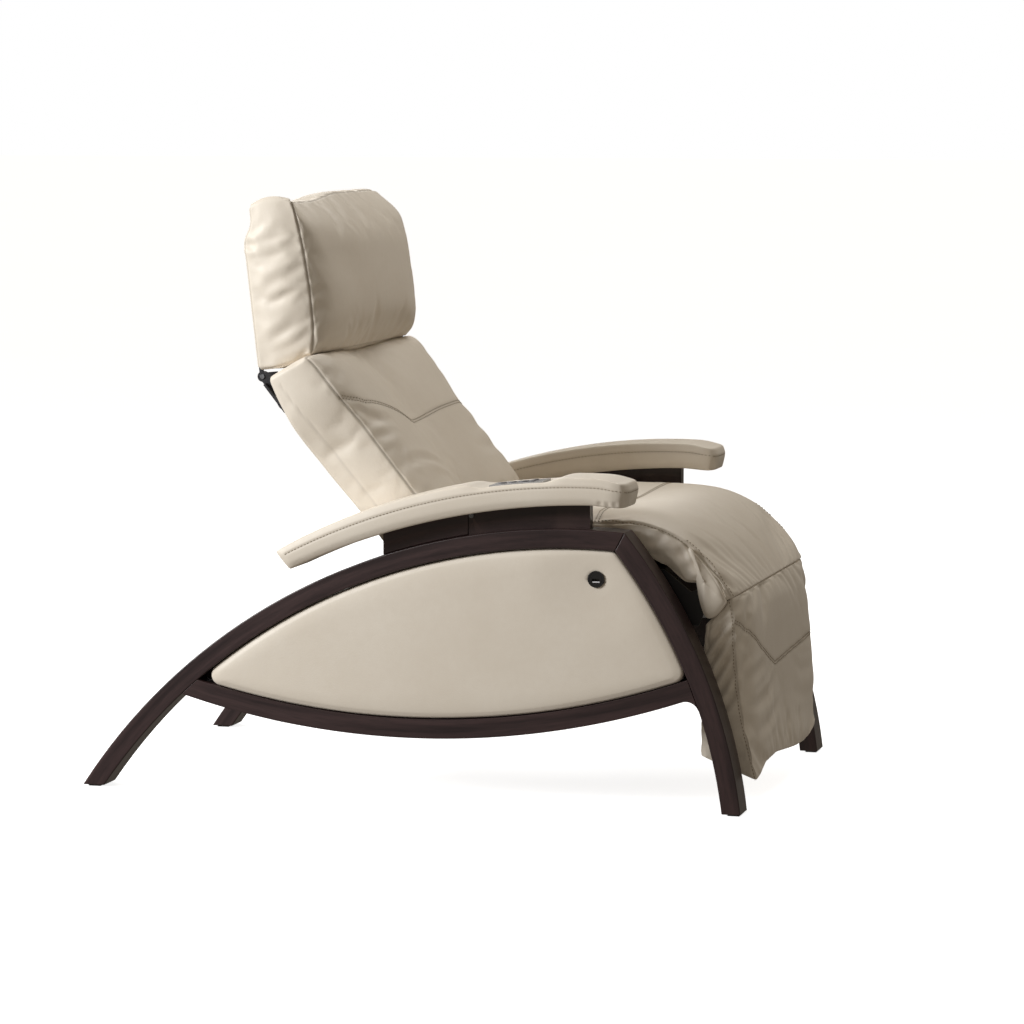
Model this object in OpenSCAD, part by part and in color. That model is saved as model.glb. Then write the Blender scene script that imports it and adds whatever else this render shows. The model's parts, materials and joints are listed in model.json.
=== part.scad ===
// Power recliner massage chair with two arched wooden side frames.
// X points the way the sitter faces, Y to the sitter's left, Z up from the floor.
// Side profiles are drawn in the XZ plane and extruded across the chair.

/* [Side frames] */
// Width over the outer faces of the two side frames
frame_w = 724; // [716:1:730]
// Thickness of the side frame timber
frame_t = 56; // [52:1:58]
// Radius of the outside of the arched top rail
arch_r = 1042; // [1041:0.5:1044]
// Depth of the arched top rail
arch_band = 32; // [30:0.5:34]
// Radius of the front edge of the curved front leg
leg_r = 897; // [896:0.5:898]
// Depth of the front leg
leg_band = 32; // [31:0.5:34]
// Radius of the underside of the lower rail
rail_r = 1419; // [1417:0.5:1421]
// Depth of the lower rail
rail_band = 32; // [30:0.5:34]
// Corner radius of the upholstered side panel
panel_corner = 18; // [14:1:20]
// Thickness of the glide under each foot
glide_t = 3; // [2:0.5:5]

/* [Arms] */
// Width of an arm pad
pad_w = 107; // [104:1:110]
// How far an arm pad overhangs the outer face of its side frame
pad_over = 31.5; // [30:0.5:33]
// Thickness of the boards that carry the arm pads
block_t = 20; // [16:1:24]
// How far those boards stand in from the outer face
block_inset = 12; // [10:1:14]

/* [Seat] */
// Height of the top edge of the seat cushion
seat_top = 474; // [472:0.5:475]
// Height of the seat board's underside
seat_board_z = 388; // [387:0.5:389]
// Radius of the rounded front of the seat
knee_r = 195; // [194:0.5:196]
// Width of the seat cushion
seat_w = 606; // [600:1:608]

/* [Back] */
// Lean of the back from upright
back_lean = 38.5; // [38:0.1:39]
// Width of the lower part of the back, between the arm pads
back_w_low = 568; // [560:1:570]
// Width of the upper part of the back
back_w_top = 604; // [598:1:606]
// Lean of the headrest pillow from upright
pillow_lean = 6.4; // [6:0.1:7]
// Width of the headrest pillow
pillow_w = 548; // [540:1:560]

/* [Legrest] */
// Width of the legrest pad
legrest_w = 594; // [588:1:596]
// Radius of the rounded top of the legrest at its hinge
knuckle_r = 30; // [28:0.5:30.5]

/* [Mechanism] */
// Radius of the hinge pins of the back and the legrest
pin_r = 6; // [5:0.5:7]
// Radial running clearance of shafts and pins
run = 0.06; // [0.03:0.01:0.09]
// Gap kept between soft pieces on different bodies
gap = 0.4; // [0.3:0.1:0.6]
// Radius of the massage carriage's guide rods
rod_r = 7; // [6:0.5:8]
// Radius of a kneading roller
roller_r = 16.5; // [15:0.5:17]

/* [Hidden] */
$fn = 96;
wood = "#35262a";
leather = "#d3c6b4";
steel = "#3a3b3e";
bright = "#b9bcc0";
black = "#17171a";

frame_out = frame_w / 2;
frame_in = frame_out - frame_t;
arch_c = [286, -574];
leg_c = [-320, -105];
rail_c = [5, 1527];
arch_in = arch_r - arch_band;
leg_in = leg_r - leg_band;
rail_in = rail_r - rail_band;

pad_out = frame_out + pad_over;
pad_in = pad_out - pad_w;
pad_under_c = [334, -710];
pad_under_r = 1221;
pad_top_c = [300, -520];
pad_top_r = 1074;
pad_front = 387;
pad_crown_r = 22;
block_out = frame_out - block_inset;
block_rear = -45;
block_split = 103;
block_front = 312;
bolt_at = [block_split + 6, 485];
bolt_r = 2.5;
bolt_head_r = 4.2;
bolt_l = 11;

knee_c = [350, seat_top - knee_r];
knee_band = 45;
knee_end = 36;
seat_rear = 37;
seat_board_t = 12;
seat_under = seat_board_z + seat_board_t + gap;

hip = [0, 420];
knee_hinge = [505, 352];
plate_in = 288;
plate_t = 6;
cross_z = [350, seat_board_z];
cross_x = [85, 315];
cross_depth = 30;

// The back is drawn upright: X is the distance forward across it, Y the distance up along it.
back_rear = 218;
back_seam = 308;
back_face = 336;
foam_rear = 286;
back_low = 345;
back_high = 703;
back_taper = [545, 640];
hip_b = [hip[0] * cos(back_lean) + hip[1] * sin(back_lean),
         hip[1] * cos(back_lean) - hip[0] * sin(back_lean)];
tube_n = 252;
tube_r = 10;
tube_u = [368, 688];
upright_y = [262, 274];
rod_y = 110;
axle_at = [267, 485];
carriage_u = [450, 520];
screw_r = 6;

// The headrest is drawn upright in its own lean.
pillow_rear = -209;
pillow_seam = -107;
pillow_face = -80;
pillow_low = 742;
pillow_lip = 768;
pillow_high = 1018;
board_t = 9;
board_h = 207;
tilt_at = [-290, 702];
tilt_b = [tilt_at[0] * cos(back_lean) + tilt_at[1] * sin(back_lean),
          tilt_at[1] * cos(back_lean) - tilt_at[0] * sin(back_lean)];
tilt_p = [tilt_at[0] * cos(pillow_lean) + tilt_at[1] * sin(pillow_lean),
          tilt_at[1] * cos(pillow_lean) - tilt_at[0] * sin(pillow_lean)];

// Slotted rod ends drive the cranks of the back and of the legrest.
back_crank_r = 97;
back_crank_a = -106;
leg_crank_r = 60;
leg_crank_a = -122;
back_crank = hip + back_crank_r * [cos(back_crank_a), sin(back_crank_a)];
leg_crank = knee_hinge + leg_crank_r * [cos(leg_crank_a), sin(leg_crank_a)];
back_rod_z = hip[1] - back_crank_r * (1 - sin(-back_crank_a)) / 2 - back_crank_r * sin(-back_crank_a);
leg_rod_z = knee_hinge[1] - leg_crank_r * (1 + sin(-leg_crank_a)) / 2;
back_rod_y = 60;
leg_rod_y = -60;

keypad_x = 189;
keypad_y = -(pad_out + pad_in) / 2;
keypad_slope = asin((pad_top_c[0] - keypad_x) / pad_top_r);
keypad_z = pad_top_c[1] + pad_top_r * cos(keypad_slope);
keypad_l = 92;
keypad_w = 56;
keypad_t = 9;
keypad_sunk = 6;
button_h = 6;

socket_at = [324.5, 386];
socket_r = 14;
slot_w = 13;
slot_low = -5.6;
slot_high = 0.8;
slot_depth = 12;
tongue_t = 1.6;
panel_face = frame_out - 4;
panel_fit = 0.4;
inlet_at = [-285, 278];
inlet_w = 24;
inlet_h = 16;
rocker_y = 41;

// Crossing of two circles; side is 1 or -1 and picks one of the two points.
function meet(a, ra, b, rb, side) =
    let (v = b - a, d = norm(v), e = v / d, along = (d * d + ra * ra - rb * rb) / (2 * d),
         across = sqrt(ra * ra - along * along))
    a + along * e + side * across * [-e[1], e[0]];

// Extrudes an XZ profile from y0 to y1.
module slab(y0, y1)
    translate([0, y1, 0]) rotate([90, 0, 0]) linear_extrude(y1 - y0) children();

// The same on one side of the chair: side is -1 for the right and 1 for the left.
module side_slab(side, y0, y1)
    slab(min(side * y0, side * y1), max(side * y0, side * y1)) children();

module both_sides(y0, y1)
    for (side = [-1, 1])
        side_slab(side, y0, y1) children();

module disc(c, r)
    translate(c) circle(r, $fn = 360);

module ring(c, r_in, r_out)
    difference() {
        disc(c, r_out);
        disc(c, r_in);
    }

// A rod along Y, given by its XZ place.
module pin(at, r, y0, y1)
    translate([at[0], y1, at[1]]) rotate([90, 0, 0]) cylinder(r = r, h = y1 - y0);

// A rod along X, given by its Y and Z.
module bar(x0, x1, y, z, r)
    translate([x0, y, z]) rotate([0, 90, 0]) cylinder(r = r, h = x1 - x0);

module in_back() rotate([0, -back_lean, 0]) children();
module in_headrest() rotate([0, -pillow_lean, 0]) children();

// ---------------------------------------------------------------- side frames

mitre_in = meet(arch_c, arch_in, leg_c, leg_in, -1);
mitre_out = meet(arch_c, arch_r, leg_c, leg_r, -1);
mitre_low = mitre_in + 2 * (mitre_in - mitre_out);
mitre_high = mitre_out + 2 * (mitre_out - mitre_in);

module arch_2d()
    intersection() {
        ring(arch_c, arch_in, arch_r);
        polygon([[-700, glide_t], [-500, glide_t], mitre_low, mitre_high,
                 [mitre_high[0], 700], [-700, 700]]);
    }

module front_leg_2d()
    intersection() {
        ring(leg_c, leg_in, leg_r);
        polygon([[400, glide_t], [800, glide_t], [800, mitre_high[1]], mitre_high, mitre_low]);
    }

// Direction of a vector, from 0 to 360 degrees
function heading(v) = let (a = atan2(v[1], v[0])) a < 0 ? a + 360 : a;

// Points along an arc about c from direction a0 to a1, in n steps
function arc(c, r, a0, a1, n) =
    [for (i = [0:n]) c + r * [cos(a0 + (a1 - a0) * i / n), sin(a0 + (a1 - a0) * i / n)]];

// The lower rail runs from the arch to the front leg, with a rounded corner under the leg joint.
module lower_rail_2d() {
    fillet_r = 22;
    rear_low = meet(arch_c, arch_in, rail_c, rail_r, 1);
    rear_high = meet(arch_c, arch_in, rail_c, rail_in, 1);
    front_high = meet(leg_c, leg_in, rail_c, rail_in, -1);
    f = meet(rail_c, rail_r + fillet_r, leg_c, leg_in - fillet_r, 1);
    polygon(concat(
        arc(rail_c, rail_r, heading(rear_low - rail_c), heading(f - rail_c) - 0.3, 48),
        arc(f, fillet_r, heading(rail_c - f), heading(f - leg_c), 8),
        [front_high],
        arc(rail_c, rail_in, heading(front_high - rail_c) - 0.6, heading(rear_high - rail_c) + 0.6, 48),
        [rear_high]));
}

// The lens-shaped side panel with rounded corners, smaller than its opening by inset all round
module panel_2d(inset) {
    ra = arch_in - inset;
    rl = leg_in - inset;
    rr = rail_in - inset;
    big = panel_corner;
    small = panel_corner * 0.7;
    rear = meet(arch_c, ra - big, rail_c, rr - big, 1);
    low = meet(leg_c, rl - big, rail_c, rr - big, -1);
    top = meet(arch_c, ra - small, leg_c, rl - small, -1);
    polygon(concat(
        arc(rear, big, heading(rear - arch_c), heading(rear - rail_c), 8),
        arc(rail_c, rr, heading(rear - rail_c) + 0.4, heading(low - rail_c) - 0.4, 48),
        arc(low, big, heading(low - rail_c), heading(low - leg_c) + 360, 8),
        arc(leg_c, rl, heading(low - leg_c) + 0.4, heading(top - leg_c) - 0.4, 16),
        arc(top, small, heading(top - leg_c), heading(top - arch_c), 6),
        arc(arch_c, ra, heading(top - arch_c) + 0.4, heading(rear - arch_c) - 0.4, 48)));
}

module arch_rail(side) color(wood) side_slab(side, frame_in, frame_out) arch_2d();
module front_leg(side) color(wood) side_slab(side, frame_in, frame_out) front_leg_2d();
module lower_rail(side) color(wood) side_slab(side, frame_in, frame_out) lower_rail_2d();

module side_panel_boards()
    color(wood)
        both_sides(frame_in + 12, frame_in + 21)
            intersection() {
                disc(arch_c, arch_in - panel_fit);
                disc(leg_c, leg_in - panel_fit);
                disc(rail_c, rail_in - panel_fit);
            }

module side_panel_pad(side)
    color(leather)
        difference() {
            side_slab(side, frame_in + 21, panel_face) panel_2d(0.5);
            if (side < 0) pin(socket_at, socket_r - 2, -frame_out, -frame_in - 21);
        }

module foot_glides()
    color(black)
        both_sides(frame_in + 8, frame_out - 8) {
            translate([-574, 0]) square([22, glide_t]);
            translate([547, 0]) square([20, glide_t]);
        }

// ---------------------------------------------------------------- arms

module arm_board_2d(x0, x1)
    intersection() {
        disc(pad_under_c, pad_under_r);
        difference() {
            translate([x0, 300]) square([x1 - x0, 300]);
            disc(arch_c, arch_r);
        }
    }

module arm_block_front(side)
    color(wood)
        difference() {
            side_slab(side, block_out - block_t, block_out)
                arm_board_2d(block_split + 1, block_front);
            pin(bolt_at, bolt_r + 0.1, side < 0 ? -block_out - 1 : block_out - bolt_l - 1,
                side < 0 ? -block_out + bolt_l + 1 : block_out + 1);
        }

module arm_block_rear(side)
    color(wood) side_slab(side, block_out - block_t, block_out) arm_board_2d(block_rear, block_split);

module arm_pad_2d()
    intersection() {
        difference() {
            disc(pad_top_c, pad_top_r);
            disc(pad_under_c, pad_under_r);
        }
        union() {
            polygon([[-196, 393], [-229, 424], [-229, 600], [pad_front - pad_crown_r, 600],
                     [pad_front - pad_crown_r, 393]]);
            translate([0, 509 - 60]) square([pad_front, 60 + pad_crown_r]);
            disc([pad_front - pad_crown_r, 531], pad_crown_r);
        }
    }

module at_keypad()
    translate([keypad_x, keypad_y, keypad_z]) rotate([0, -keypad_slope, 0]) children();

module block_of(l, w, z0, z1)
    translate([-l / 2, -w / 2, z0]) cube([l, w, z1 - z0]);

module arm_pad(side)
    color(leather)
        difference() {
            side_slab(side, pad_in, pad_out) arm_pad_2d();
            if (side < 0) at_keypad() block_of(keypad_l + 2, keypad_w + 2, -keypad_sunk - keypad_t, 20);
        }

module arm_bolts()
    color(bright)
        for (side = [-1, 1]) {
            pin(bolt_at, bolt_r, side < 0 ? -block_out : block_out - bolt_l,
                side < 0 ? -block_out + bolt_l : block_out);
            pin(bolt_at, bolt_head_r, side < 0 ? -block_out - bolt_r : block_out,
                side < 0 ? -block_out : block_out + bolt_r);
        }

// ---------------------------------------------------------------- keypad

button_spots = [[-30, 0], [-12, 0], [7, 0], [24, 11], [24, -11]];
button_rs = [7, 7, 9, 6, 6];

module keypad_bezel()
    color(bright)
        at_keypad()
            difference() {
                block_of(keypad_l, keypad_w, -keypad_sunk - keypad_t, -keypad_sunk);
                for (i = [0:4])
                    translate([button_spots[i][0], button_spots[i][1], -keypad_sunk - button_h])
                        cylinder(r = button_rs[i] + 0.3, h = button_h + 1);
            }

// A button rests 2 mm above the floor of its well, which is its travel with room to spare.
module button(i)
    color(steel)
        at_keypad()
            translate([button_spots[i][0], button_spots[i][1], -keypad_sunk - button_h + 2])
                cylinder(r = button_rs[i], h = button_h - 0.5);

// ---------------------------------------------------------------- charging socket

module socket_slot(w, low, high, y0, y1)
    translate([socket_at[0] - w / 2, y0, socket_at[1] + low]) cube([w, y1 - y0, high - low]);

module charging_socket()
    color(black)
        difference() {
            union() {
                pin(socket_at, socket_r - 2.2, -panel_face, -panel_face + 22);
                pin(socket_at, socket_r, -panel_face - 2, -panel_face);
            }
            difference() {
                pin(socket_at, socket_r - 2.6, -panel_face - 3, -panel_face - 1);
                pin(socket_at, socket_r - 4, -panel_face - 1.6, -panel_face);
            }
            pin(socket_at, socket_r - 5.4, -panel_face - 3, -panel_face - 1);
            socket_slot(slot_w, slot_low, slot_high, -panel_face - 3, -panel_face + slot_depth);
        }

module socket_tongue()
    color("#e8e8ea")
        socket_slot(slot_w, slot_low, slot_low + tongue_t, -panel_face - 0.8, -panel_face + slot_depth);

// ---------------------------------------------------------------- seat and its frame

module rear_stretcher()
    color(steel) slab(-frame_in, frame_in) translate([-265, 196]) square([30, 50]);

module side_plate_2d()
    difference() {
        union() {
            disc(hip, 24);
            polygon([[-24, 420], [24, 420], [40, 398], [425, 398], [470, 362], [492, 369],
                     [516, 333], [492, 327], [484, 305], [440, 312], [60, 340], [-16, 402]]);
            disc(knee_hinge, 22);
        }
        disc(hip, pin_r);
        disc(knee_hinge, pin_r);
    }

module seat_side_plates() color(black) both_sides(plate_in, plate_in + plate_t) side_plate_2d();

module plate_spacers()
    color(bright)
        for (at = [[120, 375], [300, 380], [395, 350]])
            for (side = [-1, 1])
                pin(at, 11, side < 0 ? -frame_in : plate_in + plate_t,
                    side < 0 ? -plate_in - plate_t : frame_in);

module seat_cross_rails()
    color(steel)
        slab(-plate_in, plate_in)
            for (x = cross_x)
                translate([x, cross_z[0]]) square([cross_depth, cross_z[1] - cross_z[0]]);

module seat_board()
    color("#c9a878")
        slab(-plate_in + 2, plate_in - 2) translate([50, seat_board_z]) square([375, seat_board_t]);

module seat_cushion()
    color(leather)
        slab(-seat_w / 2, seat_w / 2) {
            intersection() {
                translate([seat_rear, seat_under]) square([398, seat_top - seat_under]);
                union() {
                    disc(knee_c, knee_r);
                    translate([0, 300]) square([knee_c[0], 300]);
                }
            }
            intersection() {
                ring(knee_c, knee_r - knee_band, knee_r);
                polygon([knee_c, knee_c + 400 * [cos(knee_end), sin(knee_end)],
                         knee_c + [400, 400], knee_c + [0, 400]]);
            }
        }

// Soft side flaps that close the rounded front of the seat
module seat_gussets()
    color(leather)
        both_sides(298.5, 301.5)
            polygon([[482, 371], [507, 391], [534, 352], [526, 334], [502, 314], [496, 340],
                     [486, 360]]);

module back_hinge_pins()
    color(bright) for (side = [-1, 1])
        pin(hip, pin_r, side < 0 ? -plate_in - plate_t - 3 : upright_y[0] - 3,
            side < 0 ? -upright_y[0] + 3 : plate_in + plate_t + 3);

module legrest_hinge_pins()
    color(bright) for (side = [-1, 1])
        pin(knee_hinge, pin_r, side < 0 ? -plate_in - plate_t - 3 : 278,
            side < 0 ? -278 : plate_in + plate_t + 3);

// ---------------------------------------------------------------- power

module at_inlet() translate([inlet_at[0], 0, inlet_at[1]]) children();

module control_box()
    color(black)
        at_inlet()
            difference() {
                translate([0, -80, -32]) cube([100, 160, 55]);
                translate([-1, -inlet_w / 2 - 2, -inlet_h / 2 - 2])
                    cube([22, inlet_w + 4, inlet_h + 4]);
                translate([-1, rocker_y - 11, -8]) cube([15, 22, 16]);
            }

module power_inlet()
    color(black)
        at_inlet() {
            difference() {
                translate([0, -inlet_w / 2 - 2, -inlet_h / 2 - 2])
                    cube([21, inlet_w + 4, inlet_h + 4]);
                translate([-1, -inlet_w / 2, -inlet_h / 2]) cube([19, inlet_w, inlet_h]);
            }
            for (y = [-7, 0, 7])
                translate([13, y - 1, y == 0 ? 1 : -4]) cube([6, 2, 4]);
        }

module rocker_switch()
    color(black)
        at_inlet()
            intersection() {
                translate([-3, rocker_y - 10, -7.5]) cube([13, 20, 15]);
                pin([5, 0], 8, rocker_y - 11, rocker_y + 11);
            }

// ---------------------------------------------------------------- actuators

module yoke(x, y, z, slot_w, slot_h, rod_x)
    difference() {
        union() {
            translate([x - 16, y - 6, z - slot_h / 2 - 8]) cube([32, 12, slot_h + 16]);
            bar(min(x + 15, rod_x), max(x - 15, rod_x), y, z, 8);
        }
        translate([x - slot_w / 2, y - 7, z - slot_h / 2]) cube([slot_w, 14, slot_h]);
    }

module actuator(x0, x1, y, z, bore_x0, bore_x1)
    color(black)
        difference() {
            union() {
                bar(x0, x1, y, z, 18);
                for (x = cross_x)
                    translate([x, y - 9, z]) cube([cross_depth, 18, cross_z[0] - z]);
            }
            bar(bore_x0, bore_x1, y, z, 8 + run);
        }

module recline_actuator() actuator(60, 370, back_rod_y, back_rod_z, 59, 300);
module legrest_actuator() actuator(70, 385, leg_rod_y, leg_rod_z, 180, 386);
module recline_rod() color(bright) yoke(back_crank[0], back_rod_y, back_rod_z, 13.4, 18, 230);
module legrest_rod() color(bright) yoke(leg_crank[0], leg_rod_y, leg_rod_z, 14.4, 24, 250);

// ---------------------------------------------------------------- back

module back_frame()
    color(steel)
        in_back()
            difference() {
                union() {
                    both_sides(upright_y[0], upright_y[1]) {
                        polygon([[tube_n - 13, 352], [tube_n + 13, 352], [tube_n + 13, 696],
                                 [tube_n - 13, 696]]);
                        polygon([hip_b + [-14, 0], hip_b + [14, 0], [tube_n + 13, 353],
                                 [tube_n - 13, 353]]);
                        disc(hip_b, 14);
                    }
                    for (u = tube_u)
                        pin([tube_n, u], tube_r, -upright_y[0] - 1, upright_y[0] + 1);
                    slab(back_rod_y + 7, back_rod_y + 13) crank_2d();
                    slab(back_rod_y - 13, back_rod_y - 7) crank_2d();
                    pin(crank_b, 6, back_rod_y - 13, back_rod_y + 13);
                }
                for (side = [-1, 1])
                    pin(hip_b, pin_r + run, side < 0 ? -290 : 250, side < 0 ? -250 : 290);
            }

crank_b = hip_b + back_crank_r * [cos(back_crank_a - back_lean), sin(back_crank_a - back_lean)];

module crank_2d() {
    disc(crank_b, 12);
    polygon([crank_b + [-10, -5], crank_b + [10, 6], [tube_n + 9, tube_u[0]], [tube_n - 9, tube_u[0]]]);
}

function back_outline(w_cut) = [
    [-back_w_low / 2 + w_cut, back_low], [back_w_low / 2 - w_cut, back_low],
    [back_w_low / 2 - w_cut, back_taper[0]], [back_w_top / 2 - w_cut, back_taper[1]],
    [back_w_top / 2 - w_cut, back_high], [-back_w_top / 2 + w_cut, back_high],
    [-back_w_top / 2 + w_cut, back_taper[1]], [-back_w_low / 2 + w_cut, back_taper[0]]];

// Extrudes a front-view outline of the back from n0 to n1 forward.
module across_back(n0, n1)
    translate([n0, 0, 0]) rotate([90, 0, 90]) linear_extrude(n1 - n0) children();

module back_cushion()
    color(leather)
        in_back()
            intersection() {
                across_back(foam_rear, back_face) polygon(back_outline(0));
                slab(-320, 320) {
                    translate([foam_rear, back_low]) square([back_seam - foam_rear, 360]);
                    translate([foam_rear, back_low + 28]) square([back_face - foam_rear, 302]);
                    disc([back_seam, back_low + 28], 28);
                    disc([back_seam, back_high - 28], 28);
                }
            }

module back_side_pads()
    color(leather)
        in_back()
            difference() {
                across_back(back_rear, foam_rear) polygon(back_outline(0));
                across_back(back_rear - 1, foam_rear + 1)
                    polygon([for (p = back_outline(9)) p + [0, p[1] < 400 ? -2 : (p[1] > 700 ? 2 : 0)]]);
            }

module back_rear_cover()
    color(leather)
        in_back()
            across_back(back_rear, back_rear + 4) polygon(back_outline(9.3));

// ---------------------------------------------------------------- massage mechanism

// A rod along the length of the back
module along_back(n, y, u0, u1, r)
    translate([n, y, u0]) cylinder(r = r, h = u1 - u0);

module massage_rails()
    color(bright)
        in_back()
            for (y = [-rod_y, rod_y])
                along_back(tube_n, y, tube_u[0] + tube_r, tube_u[1] - tube_r, rod_r);

module screw_motor()
    color(black)
        in_back() {
            translate([tube_n - 22, -24, tube_u[0] + tube_r]) cube([44, 48, 50]);
            difference() {
                translate([tube_n - 14, -16, tube_u[1] - tube_r - 14]) cube([28, 32, 14]);
                along_back(tube_n, 0, 600, 680, screw_r + run);
            }
        }

module lead_screw()
    color(bright)
        in_back() along_back(tube_n, 0, tube_u[0] + tube_r + 50.2, tube_u[1] - tube_r - 2, screw_r);

module massage_carriage()
    color(steel)
        in_back()
            difference() {
                union() {
                    for (u = [carriage_u[0], carriage_u[1] - 15])
                        translate([tube_n - 14, -126, u]) cube([28, 252, 15]);
                    for (y = [-98, 92])
                        translate([tube_n - 14, y, carriage_u[0]]) cube([36, 6, 70]);
                    translate([tube_n - 14, 124, carriage_u[0]]) cube([42, 6, 70]);
                    translate([tube_n - 14, -130, carriage_u[0]]) cube([28, 6, 70]);
                }
                for (y = [-rod_y, rod_y])
                    along_back(tube_n, y, 440, 530, rod_r + run);
                along_back(tube_n, 0, 440, 530, screw_r + run);
                pin(axle_at, 5 + run, -99, 140);
            }

module kneading_axle() color(bright) in_back() pin(axle_at, 5, -98, 131);

module kneading_rollers()
    color(leather)
        in_back()
            for (y = [-75, -40, 40, 75])
                difference() {
                    pin(axle_at, roller_r, y - 10, y + 10);
                    pin(axle_at, 5, y - 11, y + 11);
                }

module kneading_motor()
    color(black)
        in_back()
            difference() {
                pin(axle_at, 16, 130, 190);
                pin(axle_at, 5 + run, 129, 134);
            }

// ---------------------------------------------------------------- headrest

ear_y = [244, 249];
ear_low = 708;
ear_tip = 235;
arm_y = [237, 242.5];

module headrest_brackets()
    color(black)
        in_back() {
            both_sides(236, 262)
                translate([tilt_b[0] - 4, 656]) square([4, tilt_b[1] - 14 - 656]);
            difference() {
                both_sides(ear_y[0], ear_y[1]) {
                    disc(tilt_b, 9);
                    polygon([[tilt_b[0] - 6, 690], [tilt_b[0] + 4, 690], [tilt_b[0] + 4, ear_low],
                             [ear_tip, ear_low], [ear_tip + 1, ear_low + 13],
                             [tilt_b[0], tilt_b[1] + 8], [tilt_b[0] - 6, tilt_b[1] + 6]]);
                }
                for (side = [-1, 1])
                    pin(tilt_b, 4 + run, side < 0 ? -260 : 230, side < 0 ? -230 : 260);
            }
            both_sides(242, 256) translate([tilt_b[0], 664]) square([back_rear - tilt_b[0], 14]);
            for (y = [-249, 249])
                translate([tilt_b[0] - 7, y, 671]) rotate([0, 90, 0]) cylinder(r = 6.5, h = 3);
        }

module headrest_hinge_pins()
    color(bright)
        for (side = [-1, 1])
            pin(tilt_at, 4, side < 0 ? -251 : 235, side < 0 ? -235 : 251);

module headrest_arms()
    color(black)
        in_headrest()
            difference() {
                both_sides(arm_y[0], arm_y[1]) {
                    disc(tilt_p, 9);
                    translate([tilt_p[0] - 7, tilt_p[1]]) square([7, 130]);
                }
                for (side = [-1, 1])
                    pin(tilt_p, 4, side < 0 ? -260 : 230, side < 0 ? -230 : 260);
                across_back(pillow_rear, pillow_rear + 40)
                    polygon([[-300, 741], [300, 741], [300, 900], [-300, 900]]);
            }

module headrest_board()
    color("#c9a878")
        in_headrest()
            slab(-pillow_w / 2 + 14, pillow_w / 2 - 14)
                translate([pillow_rear, pillow_low + 6])
                    square([board_t, board_h]);

module headrest_pillow()
    color(leather)
        in_headrest()
            slab(-pillow_w / 2, pillow_w / 2) {
                polygon([[pillow_rear + board_t, pillow_low], [-152, pillow_low + 2],
                         [-120, pillow_lip - 3], [pillow_seam, pillow_lip], [pillow_seam, pillow_high],
                         [pillow_rear + board_t, pillow_high]]);
                translate([pillow_seam - 1, pillow_lip + 27])
                    square([pillow_face - pillow_seam + 1, pillow_high - pillow_lip - 54]);
                disc([pillow_seam, pillow_lip + 27], 27);
                disc([pillow_seam, pillow_high - 27], 27);
            }

// ---------------------------------------------------------------- legrest

leg_arm_y = [279, 285];

module legrest_frame()
    color(steel)
        difference() {
            union() {
                both_sides(leg_arm_y[0], leg_arm_y[1]) {
                    disc(knee_hinge, 16);
                    polygon([knee_hinge + [-10, 0], knee_hinge + [10, 0], [520, 180], [526, 98],
                             [508, 98], [501, 180]]);
                }
                for (at = [[506, 262], [514, 120]])
                    pin(at, 9, -leg_arm_y[0] - 1, leg_arm_y[0] + 1);
                for (y = [leg_rod_y - 13, leg_rod_y + 7])
                    slab(y, y + 6) {
                        disc(leg_crank, 12);
                        polygon([leg_crank + [-9, -8], leg_crank + [10, 7], [512, 269], [500, 255]]);
                    }
                pin(leg_crank, 6, leg_rod_y - 13, leg_rod_y + 13);
            }
            for (side = [-1, 1])
                pin(knee_hinge, pin_r + run, side < 0 ? -300 : 270, side < 0 ? -270 : 300);
        }

module legrest_pad()
    color(leather)
        difference() {
            union() {
                slab(-legrest_w / 2, legrest_w / 2)
                    polygon([[497, 322], [539, 322], [553, 284], [563, 184], [576, 95], [582, 40],
                             [500, 40], [489, 84], [489, 200], [496, 290]]);
                slab(-277, 277) {
                    disc(knee_hinge, knuckle_r);
                    polygon([[497, 321], knee_hinge + [-8, 0], knee_hinge + [knuckle_r, 0],
                             [539, 321]]);
                }
            }
            slab(-287, 287)
                polygon([[470, 324], [517, 324], [524, 284], [534, 184], [545, 62], [470, 62]]);
        }

arch_rail(-1);  // arch_rail_right
arch_rail(1);  // arch_rail_left
front_leg(-1);  // front_leg_right
front_leg(1);  // front_leg_left
lower_rail(-1);  // lower_rail_right
lower_rail(1);  // lower_rail_left
side_panel_boards();
side_panel_pad(-1);  // side_panel_pad_right
side_panel_pad(1);  // side_panel_pad_left
arm_block_front(-1);  // arm_block_front_right
arm_block_front(1);  // arm_block_front_left
arm_block_rear(-1);  // arm_block_rear_right
arm_block_rear(1);  // arm_block_rear_left
arm_pad(-1);  // arm_pad_right
arm_pad(1);  // arm_pad_left
arm_bolts();
foot_glides();
rear_stretcher();
seat_side_plates();
plate_spacers();
seat_cross_rails();
seat_board();
seat_cushion();
seat_gussets();
back_hinge_pins();
legrest_hinge_pins();
control_box();
power_inlet();
rocker_switch();
charging_socket();
socket_tongue();
keypad_bezel();
button(0);  // button_recline
button(1);  // button_raise
button(2);  // button_power
button(3);  // button_massage
button(4);  // button_heat
recline_actuator();
recline_rod();
legrest_actuator();
legrest_rod();
back_frame();
back_cushion();
back_side_pads();
back_rear_cover();
massage_rails();
screw_motor();
lead_screw();
massage_carriage();
kneading_axle();
kneading_rollers();
kneading_motor();
headrest_brackets();
headrest_hinge_pins();
headrest_arms();
headrest_board();
headrest_pillow();
legrest_frame();
legrest_pad();
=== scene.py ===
import json
import math

import bpy
import numpy as np
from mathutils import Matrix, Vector
from mathutils.bvhtree import BVHTree


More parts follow.
